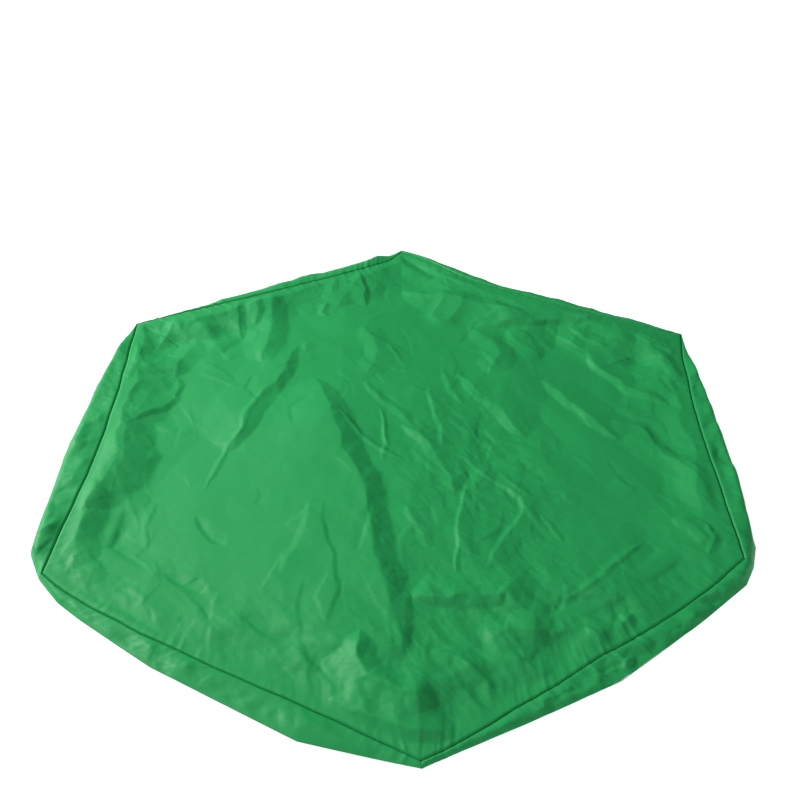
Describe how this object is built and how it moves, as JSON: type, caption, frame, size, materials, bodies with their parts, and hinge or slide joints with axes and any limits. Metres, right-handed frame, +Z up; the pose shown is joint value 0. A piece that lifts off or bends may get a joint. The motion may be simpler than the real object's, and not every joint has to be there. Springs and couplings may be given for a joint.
{
  "type": "drawcord cover",
  "caption": "Flat hexagonal cloth cover with a turned-under skirt, a drawcord in its folded hem and a spring cord lock.",
  "frame": {"origin": "on the floor under the middle of the cover as it lies flat", "axes": "+Z up out of the top panel, +Y to the hexagon's far corner, +X to the middle of its right side"},
  "size_m": [1.2958, 1.4278, 0.04],
  "materials": {
    "green_cloth": "semi-satin coated oxford cloth, silver-grey coating on the inside",
    "silver_coating": "silver-grey coating on the inside of the cloth",
    "green_thread": "matt sewing thread",
    "black_cord": "braided polyester",
    "black_plastic": "fine satin moulded",
    "spring_steel": "bright drawn wire"
  },
  "bodies": {
    "cover": {"top_panel": "green_cloth", "skirt_far_left": "green_cloth", "skirt_far_right_long": "green_cloth", "skirt_far_right_short": "green_cloth", "skirt_left": "green_cloth", "skirt_near_left": "green_cloth", "skirt_near_right": "green_cloth", "skirt_right": "green_cloth", "drawcord_loop": "black_cord", "drawcord_left_end": "black_cord", "drawcord_right_end": "black_cord", "drawcord_left_knot": "black_cord", "drawcord_right_knot": "black_cord"},
    "cord_lock": {"cord_lock_barrel": "black_plastic", "cord_lock_spring": "spring_steel"},
    "cord_lock_button": {"cord_lock_plunger": "black_plastic"}
  },
  "joints": [
    {"name": "cord_lock_slide", "type": "slide", "parent": "cover", "child": "cord_lock", "axis": [-0.5, -0.866, 0], "range_m": [0, 0.045], "deforming": ["drawcord_left_end", "drawcord_right_end"]},
    {"name": "cord_lock_press", "type": "slide", "parent": "cord_lock", "child": "cord_lock_button", "axis": [0.866, -0.5, 0], "range_m": [0, 0.004], "stiffness_N_per_m": 600, "springref_m": -0.004, "deforming": ["cord_lock_spring"]}
  ]
}
